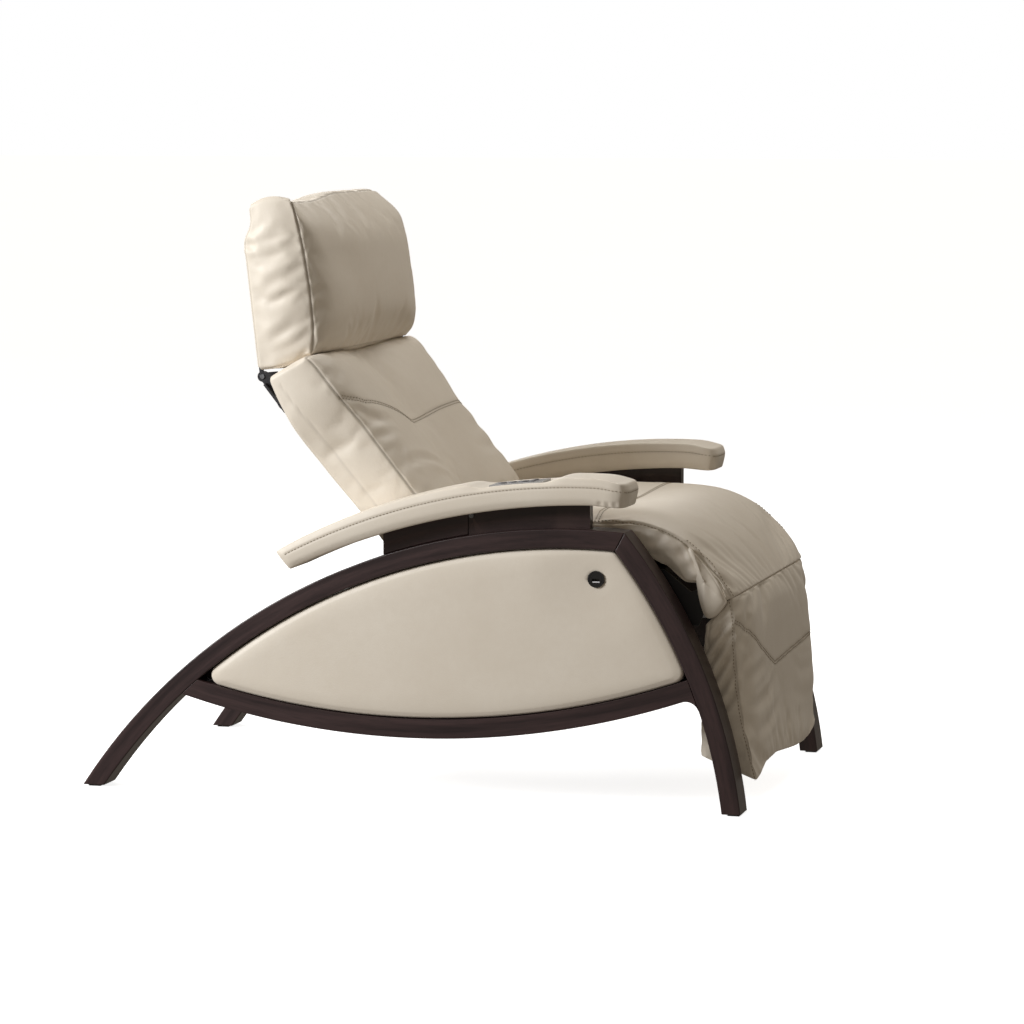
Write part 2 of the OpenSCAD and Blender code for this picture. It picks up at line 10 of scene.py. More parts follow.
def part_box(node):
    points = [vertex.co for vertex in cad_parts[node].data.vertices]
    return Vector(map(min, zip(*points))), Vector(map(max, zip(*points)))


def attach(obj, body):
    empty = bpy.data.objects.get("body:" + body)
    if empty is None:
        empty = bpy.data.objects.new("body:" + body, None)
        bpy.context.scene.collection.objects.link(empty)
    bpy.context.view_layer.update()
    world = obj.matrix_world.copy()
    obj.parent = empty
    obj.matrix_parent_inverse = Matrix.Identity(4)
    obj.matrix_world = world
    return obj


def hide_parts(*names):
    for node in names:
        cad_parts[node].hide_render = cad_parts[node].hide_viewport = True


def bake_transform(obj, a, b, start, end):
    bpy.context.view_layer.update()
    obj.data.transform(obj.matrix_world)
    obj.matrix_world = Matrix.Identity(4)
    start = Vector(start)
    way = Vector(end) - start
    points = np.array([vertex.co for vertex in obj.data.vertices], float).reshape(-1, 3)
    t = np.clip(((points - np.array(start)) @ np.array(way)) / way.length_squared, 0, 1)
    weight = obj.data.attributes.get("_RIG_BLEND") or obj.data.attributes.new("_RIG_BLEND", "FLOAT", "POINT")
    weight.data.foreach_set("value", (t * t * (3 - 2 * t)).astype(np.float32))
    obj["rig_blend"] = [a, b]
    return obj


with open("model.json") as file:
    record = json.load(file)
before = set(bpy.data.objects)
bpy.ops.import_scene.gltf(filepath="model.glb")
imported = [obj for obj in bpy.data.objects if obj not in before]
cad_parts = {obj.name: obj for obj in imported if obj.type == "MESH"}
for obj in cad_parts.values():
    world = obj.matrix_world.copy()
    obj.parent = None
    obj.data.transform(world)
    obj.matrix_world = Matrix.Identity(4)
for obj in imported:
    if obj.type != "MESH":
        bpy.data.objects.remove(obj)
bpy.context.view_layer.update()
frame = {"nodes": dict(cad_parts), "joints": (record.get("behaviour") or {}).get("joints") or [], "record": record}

# Looks of a power recliner: leather cushions, dark wooden side frames and the steelwork between
# them. All lengths are metres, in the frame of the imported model: X is where the sitter faces,
# Y the sitter's left, Z up. Leaning parts are shaped in their own axes (forward, across, up).

STEP = 0.007
SEAM_PITCH = 0.0062
RIGHT, LEFT = -1, 1


# ---------------------------------------------------------------- numbers from the frame

def node_points(node):
    """Vertices of a CAD node as an array."""
    return np.array([v.co for v in frame["nodes"][node].data.vertices], float)


def crossing(node, along, at, measured):
    """Lowest and highest coordinate `measured` where a CAD node crosses the plane `along` = at."""
    points = node_points(node)
    ends = np.array([e.vertices for e in frame["nodes"][node].data.edges])
    a = points[ends[:, 0]]
    b = points[ends[:, 1]]
    cut = ((a[:, along] - at) * (b[:, along] - at) <= 0) & (a[:, along] != b[:, along])
    a = a[cut]
    b = b[cut]
    share = (at - a[:, along]) / (b[:, along] - a[:, along])
    value = a[:, measured] + share * (b[:, measured] - a[:, measured])
    return value.min(), value.max()


def circle_through(points):
    """Centre (x, z) and radius of the circle through three points of a side view."""
    rows = np.array([[2 * x, 2 * z, 1] for x, z in points])
    x, z, c = np.linalg.solve(rows, np.array([px * px + pz * pz for px, pz in points]))
    return np.array([x, z]), math.sqrt(c + x * x + z * z)


def arc_over(node, stations, upper):
    """The arc that bounds a CAD node above or below, through three stations along X."""
    return circle_through([(x, crossing(node, 0, x, 2)[1 if upper else 0]) for x in stations])


def arc_height(arc, x):
    """Height of an arched line at x."""
    (cx, cz), radius = arc
    return cz + np.sqrt(radius ** 2 - (x - cx) ** 2)


def to_lean(points, lean):
    """Chair axes to (forward, across, up) axes of a part that leans back by lean."""
    x, y, z = np.asarray(points, float).T
    c = math.cos(lean)
    s = math.sin(lean)
    return np.stack([x * c + z * s, y, z * c - x * s], 1)


def from_lean(points, lean):
    return to_lean(points, -lean)


def lean_box(node, lean):
    points = to_lean(node_points(node), lean)
    return points.min(0), points.max(0)


def joint(name):
    return next(j for j in frame["joints"] if j["name"] == name)


travel = joint("massage_travel")["axis"]
back_lean = math.atan2(-travel[0], travel[2])
board_low, board_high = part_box("headrest_board")
lean_check = [crossing("headrest_board", 2, z, 0)[0] for z in (board_low.z + 0.06, board_high.z - 0.06)]
pillow_lean = math.atan2(lean_check[0] - lean_check[1], board_high.z - board_low.z - 0.12)
knee = Vector(joint("legrest_lift")["pos_m"])


# ---------------------------------------------------------------- shapes

def smooth(x, low, high):
    t = np.clip((x - low) / (high - low), 0, 1)
    return t * t * (3 - 2 * t)


def dome(distance, reach):
    """Rises from 0 at an edge to 1 at `reach` from it, along a quarter ellipse."""
    t = np.clip(distance / reach, 0, 1)
    return np.sqrt(1 - (1 - t) ** 2)


def hump(x, centre, width):
    return np.exp(-((x - centre) / width) ** 2)


def ticks(length, radius, step):
    """Grid lines along one side of a box: close together over its rounded edges."""
    turn = [radius * (1 - math.tan(math.radians(a))) for a in (45, 30, 15)]
    count = max(2, round((length - 2 * radius) / step))
    middle = np.linspace(radius, length - radius, count + 1)
    return np.concatenate([turn, middle, length - np.array(turn[::-1])])


def rounded_box(size, radius, step=STEP):
    """Points and quads of a box with rounded edges, its place in the box from 0 to 1, and its grid.

    grid[i, j, k] is the number of the point at those grid lines, or -1 inside the box."""
    lines = [ticks(s, radius, step) for s in size]
    counts = [len(line) for line in lines]
    index = np.indices(counts)
    skin = np.zeros(counts, bool)
    for axis in range(3):
        skin |= (index[axis] == 0) | (index[axis] == counts[axis] - 1)
    grid = np.full(counts, -1)
    grid[skin] = np.arange(skin.sum())
    raw = np.stack([lines[axis][index[axis][skin]] for axis in range(3)], 1)
    inner = np.clip(raw, radius, np.array(size) - radius)
    out = raw - inner
    points = inner + out * (radius / np.linalg.norm(out, axis=1))[:, None]
    faces = []
    for axis in range(3):
        for end in (0, counts[axis] - 1):
            sheet = np.take(grid, end, axis)
            quads = np.stack([sheet[:-1, :-1], sheet[1:, :-1], sheet[1:, 1:], sheet[:-1, 1:]], -1)
            outward = (end > 0) != (axis == 1)
            quads = quads.reshape(-1, 4)
            faces.append(quads if outward else quads[:, ::-1])
    return points, np.concatenate(faces), raw / np.array(size), grid


def rim(grid, axis, end):
    """Point numbers round one face of a box, in order."""
    sheet = np.take(grid, end, axis)
    return np.concatenate([sheet[0, :-1], sheet[:-1, -1], sheet[-1, :0:-1], sheet[:0:-1, 0]])


def new_piece(name, points, faces, look, flat=False):
    mesh = bpy.data.meshes.new(name)
    mesh.from_pydata(np.asarray(points).tolist(), [], [list(map(int, f)) for f in faces])
    mesh.validate()
    mesh.shade_flat() if flat else mesh.shade_smooth()
    mesh.materials.append(look)
    piece = bpy.data.objects.new(name, mesh)
    bpy.context.scene.collection.objects.link(piece)
    return piece


def get_points(piece):
    points = np.empty(len(piece.data.vertices) * 3)
    piece.data.vertices.foreach_get("co", points)
    return points.reshape(-1, 3)


def set_points(piece, points):
    piece.data.vertices.foreach_set("co", np.asarray(points, float).ravel())
    piece.data.update()


def get_normals(piece):
    normals = np.empty(len(piece.data.vertices) * 3, np.float32)
    piece.data.vertex_normals.foreach_get("vector", normals)
    return normals.reshape(-1, 3).astype(float)


def settle(piece):
    """Applies all the modifiers of a piece."""
    graph = bpy.context.evaluated_depsgraph_get()
    mesh = bpy.data.meshes.new_from_object(piece.evaluated_get(graph))
    piece.modifiers.clear()
    piece.data = mesh


def subdivide(piece):
    """Catmull-Clark once. The first points keep their numbers."""
    modifier = piece.modifiers.new("smooth", "SUBSURF")
    modifier.levels = 1
    modifier.render_levels = 1
    settle(piece)


def inflate(piece, seams, pressure, slack, cap, free=1.0, frames=20):
    """Blows the leather out between its sewn seams with a cloth simulation, and keeps the result.

    free is how much of its movement each point keeps: little where the leather lies on a board."""
    before = get_points(piece)
    group = piece.vertex_groups.new(name="seams")
    group.add([int(i) for i in seams], 1, "REPLACE")
    cloth = piece.modifiers.new("leather", "CLOTH").settings
    cloth.quality = 6
    cloth.mass = 0.25
    cloth.tension_stiffness = 22
    cloth.compression_stiffness = 22
    cloth.shear_stiffness = 8
    cloth.bending_stiffness = 0.35
    cloth.air_damping = 4
    cloth.use_pressure = True
    cloth.uniform_pressure_force = pressure
    cloth.vertex_group_mass = "seams"
    cloth.shrink_min = -slack
    cloth.effector_weights.gravity = 0
    scene = bpy.context.scene
    scene.frame_start = 1
    scene.frame_end = frames
    for number in range(1, frames + 1):
        scene.frame_set(number)
    settle(piece)
    scene.frame_set(1)
    moved = get_points(piece) - before
    far = np.linalg.norm(moved, axis=1)
    share = np.tanh(far / cap) * cap / np.maximum(far, 1e-9)
    set_points(piece, before + moved * (share * free)[:, None])
    piece.vertex_groups.clear()


def near_path(points, path):
    """Distance of each point from a path, and how far along it the nearest place lies, 0 to 1."""
    path = np.asarray(path, float)
    lengths = np.linalg.norm(np.diff(path, axis=0), axis=1)
    starts = np.concatenate([[0], np.cumsum(lengths)])
    best = np.full(len(points), 1e9)
    along = np.zeros(len(points))
    for a, b, start, length in zip(path[:-1], path[1:], starts, lengths):
        t = np.clip((points - a) @ (b - a) / length ** 2, 0, 1)
        d = np.linalg.norm(points - a - t[:, None] * (b - a), axis=1)
        closer = d < best
        best[closer] = d[closer]
        along[closer] = (start + t[closer] * length) / starts[-1]
    return best, along


def wrinkle(piece, path, width, depth, lip=0.5):
    """Presses a soft fold along a path. It fades at both ends and stands up a little beside it."""
    points = get_points(piece)
    distance, along = near_path(points, on_skin(piece, path, 0.006)[0])
    fade = np.sin(np.pi * np.clip(along, 0, 1)) ** 0.7
    fade *= distance < 5 * width
    shape = lip * hump(distance, 1.9 * width, 0.9 * width) - hump(distance, 0, width)
    set_points(piece, points + get_normals(piece) * (depth * fade * shape)[:, None])


def groove(piece, path, width=0.0024, depth=0.0016, shade=0.8):
    """Sinks a sewn line into the skin and paints shade along it, so that the leather is darker there."""
    points = get_points(piece)
    distance = near_path(points, path)[0]
    line = hump(distance, 0, width)
    set_points(piece, points - get_normals(piece) * (depth * line)[:, None])
    # Painted shade: a mask along the sewn line that the leather material darkens by.
    marks = piece.data.attributes
    mark = marks.get("painted_seam_shade") or marks.new("painted_seam_shade", "FLOAT", "POINT")
    old = np.zeros(len(points), np.float32)
    mark.data.foreach_get("value", old)
    new = np.maximum(old, shade * hump(distance, 0, 1.3 * width))
    mark.data.foreach_set("value", new.astype(np.float32))


def skin_of(piece):
    faces = [list(p.vertices) for p in piece.data.polygons]
    return BVHTree.FromPolygons(get_points(piece).tolist(), faces)


def resample(path, pitch):
    """Points at an even pitch along a path."""
    path = np.asarray(path, float)
    lengths = np.linalg.norm(np.diff(path, axis=0), axis=1)
    total = np.concatenate([[0], np.cumsum(lengths)])
    count = max(2, int(round(total[-1] / pitch)) + 1)
    places = np.linspace(0, total[-1], count)
    return np.stack([np.interp(places, total, path[:, k]) for k in range(3)], 1)


def on_skin(piece, path, pitch=0.004):
    """The path drawn onto the skin of a piece, and the skin's direction there."""
    tree = skin_of(piece)
    found = [tree.find_nearest(Vector(p)) for p in resample(path, pitch)]
    return np.array([f[0] for f in found]), np.array([f[1] for f in found])


def throw(piece, path, toward):
    """The path thrown onto the skin of a piece along one direction."""
    tree = skin_of(piece)
    toward = Vector(toward)
    landed = []
    for p in resample(path, 0.004):
        hit = tree.ray_cast(Vector(p) - toward * 0.1, toward)[0]
        landed.append(hit or tree.find_nearest(Vector(p))[0])
    return np.array(landed)


def calm(path, passes=8):
    """Takes the small kinks out of an open path, and keeps its ends."""
    path = np.array(path, float)
    for _ in range(passes):
        path[1:-1] = 0.5 * path[1:-1] + 0.25 * (path[:-2] + path[2:])
    return path


def directions(path):
    ahead = np.gradient(path, axis=0)
    return ahead / np.linalg.norm(ahead, axis=1)[:, None]


def beside(piece, path, offset):
    """A line on the skin at a steady distance beside a path."""
    places, normals = on_skin(piece, path)
    return places + np.cross(normals, directions(places)) * offset


def stitches(name, piece, paths, look, pitch=SEAM_PITCH, radius=0.00065, lift=0.0002):
    """Rows of separate thread stitches along paths on the skin of a piece."""
    points = []
    faces = []
    waists = [(-0.5, 0.1), (-0.36, 0.85), (0, 1), (0.36, 0.85), (0.5, 0.1)]
    turns = 2 * np.pi * np.arange(6) / 6
    for path in paths:
        places, normals = on_skin(piece, path, pitch)
        ahead = directions(places)
        across = np.cross(normals, ahead)
        for place, normal, along, side in zip(places, normals, ahead, across):
            first = len(points)
            for share, girth in waists:
                middle = place + along * share * pitch * 0.68 + normal * (lift + radius * 0.4 * girth)
                for turn in turns:
                    points.append(middle + radius * girth * (math.cos(turn) * side + math.sin(turn) * normal))
            for ring in range(len(waists) - 1):
                for k in range(6):
                    a = first + ring * 6 + k
                    b = first + ring * 6 + (k + 1) % 6
                    faces.append([a, b, b + 6, a + 6])
            faces.append([first + k for k in range(5, -1, -1)])
            faces.append([first + 24 + k for k in range(6)])
    return new_piece(name, points, faces, look)


def double_seam(piece, path, gap=0.0028):
    """Two sewn lines side by side; returns their paths for the stitches."""
    lines = [beside(piece, path, offset) for offset in (-gap, gap)]
    for line in lines:
        groove(piece, line, width=0.0017, depth=0.0010, shade=0.4)
    return lines


# ---------------------------------------------------------------- materials

class Look:
    """A procedural material built round one Principled shader."""

    def __init__(self, name, **constants):
        self.material = bpy.data.materials.new(name)
        self.material.use_nodes = True
        self.tree = self.material.node_tree
        self.shader = self.tree.nodes["Principled BSDF"]
        for socket, value in constants.items():
            self.shader.inputs[socket.replace("_", " ")].default_value = value
        self.place = self.tree.nodes.new("ShaderNodeTexCoord").outputs["Object"]

    def node(self, kind, **inputs):
        node = self.tree.nodes.new("ShaderNode" + kind)
        for socket, value in inputs.items():
            self.feed(node.inputs[socket.replace("_", " ")], value)
        return node

    def feed(self, socket, value):
        if isinstance(value, bpy.types.NodeSocket):
            self.tree.links.new(value, socket)
        else:
            socket.default_value = value

    def maths(self, operation, a, b=0.0):
        node = self.tree.nodes.new("ShaderNodeMath")
        node.operation = operation
        self.feed(node.inputs[0], a)
        self.feed(node.inputs[1], b)
        return node.outputs[0]

    def noise(self, scale, detail=3.0, place=None, roughness=0.5):
        node = self.node("TexNoise", Vector=place or self.place, Scale=scale, Detail=detail,
                         Roughness=roughness)
        return node.outputs["Fac"]

    def spread(self, value, low, high, start=0.3, stop=0.7):
        node = self.node("MapRange", Value=value)
        for socket, number in zip(("From Min", "From Max", "To Min", "To Max"), (start, stop, low, high)):
            node.inputs[socket].default_value = number
        return node.outputs["Result"]

    def mix(self, share, a, b):
        node = self.tree.nodes.new("ShaderNodeMix")
        node.data_type = "RGBA"
        self.feed(node.inputs[0], share)
        self.feed(node.inputs[6], a)
        self.feed(node.inputs[7], b)
        return node.outputs[2]

    def bump(self, height, strength, distance):
        node = self.node("Bump", Height=height, Strength=strength, Distance=distance)
        self.tree.links.new(node.outputs["Normal"], self.shader.inputs["Normal"])

    def set(self, socket, value):
        self.feed(self.shader.inputs[socket], value)
        return self


def rgb(red, green, blue):
    """A colour from screen values 0 to 255."""
    screen = (red, green, blue)
    return tuple(((v / 255 + 0.055) / 1.055) ** 2.4 if v > 10 else v / 3294.6 for v in screen) + (1,)


def leather_look(name, light, dark):
    look = Look(name, Sheen_Weight=0.12, Sheen_Roughness=0.4, Specular_IOR_Level=0.42)
    tone = look.spread(look.noise(7, 4), 0, 1)
    mottle = look.spread(look.noise(95, 3), 0, 1)
    base = look.mix(look.maths("MULTIPLY", tone, 0.55), light, dark)
    base = look.mix(look.maths("MULTIPLY", mottle, 0.22), base, dark)
    # Painted shade: the colour turns to a deep tone along the sewn grooves, by the mask that groove() writes.
    seam = look.node("Attribute")
    seam.attribute_name = "painted_seam_shade"
    deep = tuple(c * 0.42 for c in dark[:3]) + (1,)
    look.set("Base Color", look.mix(look.maths("MULTIPLY", seam.outputs["Fac"], 0.8), base, deep))
    pebbles = look.node("TexVoronoi", Vector=look.place, Scale=620.0)
    pebbles.feature = "SMOOTH_F1"
    grain = look.maths("ADD", look.maths("MULTIPLY", pebbles.outputs["Distance"], 0.8), look.noise(260, 4))
    look.bump(grain, 0.22, 0.0006)
    look.set("Roughness", look.spread(look.noise(60, 3), 0.44, 0.58))
    return look.material


def wood_look(name, centre, across=False):
    """Dark stained wood with its grain along an arc about a centre. across is not used."""
    look = Look(name, Coat_Weight=0.22, Coat_Roughness=0.28, Specular_IOR_Level=0.45)
    split = look.node("SeparateXYZ", Vector=look.place)
    x = look.maths("SUBTRACT", split.outputs["X"], centre[0])
    z = look.maths("SUBTRACT", split.outputs["Z"], centre[1])
    squares = look.maths("ADD", look.maths("MULTIPLY", x, x), look.maths("MULTIPLY", z, z))
    radius = look.maths("SQRT", squares)
    angle = look.maths("ARCTAN2", z, x)
    along = look.maths("MULTIPLY", angle, 0.9)
    grain_place = look.node("CombineXYZ", X=look.maths("MULTIPLY", along, 5.0),
                            Y=look.maths("MULTIPLY", split.outputs["Y"], 70.0),
                            Z=look.maths("MULTIPLY", radius, 90.0)).outputs["Vector"]
    streaks = look.noise(1.0, 6, grain_place, 0.62)
    pores_place = look.node("CombineXYZ", X=look.maths("MULTIPLY", along, 60.0),
                            Y=look.maths("MULTIPLY", split.outputs["Y"], 900.0),
                            Z=look.maths("MULTIPLY", radius, 900.0)).outputs["Vector"]
    pores = look.noise(1.0, 2, pores_place)
    base = look.mix(look.spread(streaks, 0, 1, 0.34, 0.66), rgb(38, 26, 28), rgb(62, 43, 43))
    base = look.mix(look.spread(pores, 0.5, 0, 0.28, 0.5), base, rgb(20, 14, 15))
    worn = look.spread(look.node("NewGeometry").outputs["Pointiness"], 0, 0.5, 0.52, 0.62)
    look.set("Base Color", look.mix(worn, base, rgb(84, 64, 60)))
    look.set("Roughness", look.spread(streaks, 0.34, 0.48))
    relief = look.maths("ADD", look.maths("MULTIPLY", pores, 0.6), look.maths("MULTIPLY", streaks, 0.5))
    look.bump(relief, 0.2, 0.0004)
    return look.material


def paint_look(name, light, dark, rough, grain=500.0, metal=0.0, bump=0.12, coat=0.0):
    """Paint, plated metal or moulded plastic with a fine grain and lighter worn edges."""
    look = Look(name, Metallic=metal, Coat_Weight=coat, Coat_Roughness=0.1)
    fine = look.noise(grain, 3)
    broad = look.noise(24, 4)
    base = look.mix(look.spread(broad, 0, 1), light, dark)
    worn = look.spread(look.node("NewGeometry").outputs["Pointiness"], 0, 0.45, 0.53, 0.66)
    edge = tuple(min(1, c * 1.9 + 0.01) for c in light[:3]) + (1,)
    look.set("Base Color", look.mix(worn, base, edge))
    look.set("Roughness", look.spread(fine, rough - 0.07, rough + 0.07))
    look.bump(fine, bump, 0.0002)
    return look.material


def brushed_look(name, light, dark, rough, stretch):
    """Plated or brushed metal with fine lines; stretch is the texture scale along each axis."""
    look = Look(name, Metallic=1.0)
    place = look.node("Mapping", Vector=look.place)
    place.inputs["Scale"].default_value = stretch
    lines = look.noise(1.0, 4, place.outputs["Vector"])
    look.set("Base Color", look.mix(look.spread(look.noise(40, 3), 0, 1), light, dark))
    look.set("Roughness", look.spread(lines, rough - 0.08, rough + 0.1))
    look.bump(lines, 0.1, 0.0002)
    return look.material


def ply_look(name):
    look = Look(name, Specular_IOR_Level=0.3)
    layers = look.node("TexWave", Vector=look.place, Scale=90.0, Distortion=1.5, Detail=3.0)
    layers.bands_direction = "Z"
    fibres = look.node("Mapping", Vector=look.place)
    fibres.inputs["Scale"].default_value = (160, 12, 160)
    streaks = look.noise(1.0, 4, fibres.outputs["Vector"])
    base = look.mix(look.spread(layers.outputs["Fac"], 0, 1, 0.2, 0.8), rgb(52, 42, 38), rgb(38, 31, 29))
    look.set("Base Color", look.mix(look.spread(streaks, 0, 0.5), base, rgb(24, 19, 18)))
    look.set("Roughness", look.spread(streaks, 0.6, 0.75))
    look.bump(streaks, 0.2, 0.0003)
    return look.material


def thread_look(name, light, dark):
    look = Look(name, Sheen_Weight=0.3, Roughness=0.7)
    twist = look.node("TexWave", Vector=look.place, Scale=420.0, Distortion=1.0)
    look.set("Base Color", look.mix(look.spread(twist.outputs["Fac"], 0, 1), light, dark))
    look.bump(twist.outputs["Fac"], 0.4, 0.0003)
    return look.material


leather = leather_look("leather_beige", rgb(230, 221, 207), rgb(219, 208, 192))
thread = thread_look("thread_tan", rgb(176, 160, 138), rgb(146, 130, 108))
steel = paint_look("steel_black", rgb(38, 38, 41), rgb(27, 27, 30), 0.42)
bright = brushed_look("zinc_plate", rgb(150, 152, 156), rgb(118, 120, 124), 0.36, (300, 40, 300))
plywood = ply_look("plywood_stained")
black = paint_look("plastic_black", rgb(34, 34, 36), rgb(24, 24, 26), 0.5, 800.0)
gloss = paint_look("plastic_gloss_black", rgb(30, 30, 33), rgb(22, 22, 24), 0.22, 200.0, coat=0.6, bump=0.03)
silver = paint_look("plastic_silver", rgb(168, 167, 168), rgb(150, 149, 151), 0.34, 900.0,
                    metal=0.35, coat=0.2)
button_look = paint_look("button_grey", rgb(128, 128, 131), rgb(112, 112, 116), 0.36, 900.0,
                         metal=0.3, coat=0.25)
white = paint_look("plastic_white", rgb(236, 236, 238), rgb(224, 224, 228), 0.3, 300.0, bump=0.04)
nylon = paint_look("nylon_dark", rgb(48, 46, 46), rgb(36, 35, 35), 0.55, 600.0)
rubber = paint_look("rubber_black", rgb(40, 39, 38), rgb(28, 28, 28), 0.75, 420.0, bump=0.3)

arch = arc_over("arch_rail_right", (-0.4, 0.0, 0.3), True)
rail = circle_through([(x, crossing("lower_rail_right", 0, x, 2)[0]) for x in (-0.3, 0.0, 0.3)])
leg = circle_through([(crossing("front_leg_right", 2, z, 0)[1], z) for z in (0.05, 0.2, 0.35)])
looks = {
    "wood_arch": wood_look("wood_arch", arch[0]),
    "wood_rail": wood_look("wood_rail", rail[0]),
    "wood_leg": wood_look("wood_leg", leg[0]),
}

LOOK_OF_SLOT = {"leather": leather, "roller": rubber, "steel": steel, "bright": bright, "ply": plywood,
                "black_plastic": black, "gloss_black": gloss, "silver_plastic": silver,
                "white_plastic": white, "glide": nylon}


def dress_cad_nodes():
    """Gives every CAD node its material, and takes the knife edge off the hard parts."""
    slots = {s["node"]: s["material_slot"] for s in frame["record"]["subparts"]}
    for name, node in frame["nodes"].items():
        slot = slots[name]
        look = LOOK_OF_SLOT.get(slot)
        width = 0.0007
        if slot == "wood":
            kind = "rail" if "lower" in name else "leg" if "leg" in name else "arch"
            look = looks["wood_" + kind]
            width = 0.0022
        if name.startswith("button_"):
            look = button_look
            width = 0.0016
        node.data.materials.clear()
        node.data.materials.append(look)
        weld = node.modifiers.new("weld", "WELD")
        weld.merge_threshold = 0.00002
        bevel = node.modifiers.new("edges", "BEVEL")
        bevel.width = width
        bevel.segments = 3
        bevel.limit_method = "ANGLE"
        bevel.angle_limit = math.radians(38)
        bevel.harden_normals = False
        weighted = node.modifiers.new("shading", "WEIGHTED_NORMAL")
        weighted.keep_sharp = False


# ---------------------------------------------------------------- headrest pillow

# How far the pillow's front seam bows forward at each height up its lean.
PILLOW_SEAM = ((0.757, -0.005), (0.809, 0.002), (0.874, 0.003), (0.939, 0.0),
               (0.989, -0.005), (1.023, -0.009))


def make_pillow():
    low, high = lean_box("headrest_pillow", pillow_lean)
    board = lean_box("headrest_board", pillow_lean)
    rear = board[0][0] - 0.002
    board_top = board[1][2]
    crown = 0.030
    front = high[0] - 0.027
    half = high[1] - 0.003
    size = (front - rear, 2 * half, high[2] - low[2])
    points, faces, unit, grid = rounded_box(size, 0.008)
    deep = unit[:, 0]
    up = unit[:, 2]
    y = points[:, 1] - half
    near = half + y
    far = half - y
    forward = rear + points[:, 0]
    floor = low[2] + 0.015 * smooth(forward, rear + 0.03, front)
    height = floor + points[:, 2] / size[2] * (high[2] - floor)
    swell = dome(near, 0.13) * dome(far, 0.055) * dome(height - floor, 0.030) * dome(high[2] - height, 0.05)
    lower_far = 0.002 * smooth(y, 0.0, 0.22) * hump(height, 0.80, 0.05)
    valley = 0.007 * hump(y, -0.19 - 0.35 * (height - 0.96), 0.075) * smooth(height, 0.84, 0.93)
    forward = forward + smooth(deep, 0.86, 1) * (crown * swell + lower_far - valley * dome(near, 0.03))
    rolled = smooth(up, 0.80, 1) * smooth(deep, 0.3, 1)
    forward -= 0.020 * rolled ** 2 * smooth(near, 0.0, 0.05)
    forward += 0.016 * (1 - deep) * smooth(height, board_top + 0.002, board_top + 0.040)
    forward += deep * np.interp(height, *np.array(PILLOW_SEAM).T)
    saddle = 0.011 * smooth(y, -0.14, 0.02) * dome(far, 0.06) + 0.004 * hump(near, 0.0, 0.02)
    bulge = 0.009 * np.sin(np.pi * np.clip(deep, 0, 1)) * hump(near, 0, 0.05)
    height = height + smooth(up, 0.88, 1) * (saddle * (0.35 + 0.65 * deep) + 0.003 + bulge)
    side = np.sign(y) * smooth(abs(y), half - 0.02, half)
    y = y + side * 0.006 * np.sin(np.pi * np.clip(deep, 0, 1)) * np.sin(np.pi * np.clip(up, 0, 1)) ** 0.6
    piece = new_piece("headrest_pillow_cover", from_lean(np.stack([forward, y, height], 1), pillow_lean),
                      faces, leather)
    seam = rim(grid, 0, -1)
    inflate(piece, np.concatenate([seam, rim(grid, 0, 0)]), pressure=2.0, slack=0.018, cap=0.010,
            free=0.12 + 0.88 * smooth(deep, 0.0, 0.3))
    subdivide(piece)
    for side in (RIGHT, LEFT):
        for top, drop, width, depth, reach in ((0.985, 0.016, 0.010, 0.0010, 0.050),
                                               (0.945, 0.030, 0.010, 0.0016, 0.080),
                                               (0.905, 0.026, 0.009, 0.0015, 0.075),
                                               (0.868, 0.022, 0.009, 0.0013, 0.070),
                                               (0.822, 0.044, 0.010, 0.0027, 0.085),
                                               (0.790, 0.026, 0.008, 0.0016, 0.080)):
            start = front - 0.004
            path = [[start - reach * t, side * (half + 0.004), top - drop * t ** 1.2]
                    for t in (0, 0.3, 0.6, 1)]
            wrinkle(piece, from_lean(path, pillow_lean), width, depth, 0.4)
        tuck = [[rear - 0.004 + 0.03 * t, side * (half + 0.002), 0.962 - 0.012 * t] for t in (0, 0.5, 1)]
        wrinkle(piece, from_lean(tuck, pillow_lean), 0.007, 0.0035)
    face = from_lean([[-1, 0, 0]], pillow_lean)[0]
    fold = [[high[0], -half + 0.02 + 0.13 * t, 0.782 + 0.045 * t ** 1.5] for t in (0, 0.3, 0.6, 1)]
    wrinkle(piece, throw(piece, from_lean(fold, pillow_lean), face), 0.015, 0.0028, 0.4)
    edge = get_points(piece)[seam]
    edge = np.concatenate([edge, edge[:1]])
    groove(piece, edge, 0.0019, 0.0022, 0.55)
    rear_edge = get_points(piece)[rim(grid, 0, 0)]
    groove(piece, np.concatenate([rear_edge, rear_edge[:1]]), 0.0024, 0.0016, 0.5)
    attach(piece, "headrest")
    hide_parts("headrest_pillow")


# ---------------------------------------------------------------- back

REAR_LINE = ((0.40, -0.004), (0.45, -0.005), (0.50, -0.007), (0.555, -0.010), (0.61, -0.008), (0.65, 0.001),
             (0.70, 0.012))


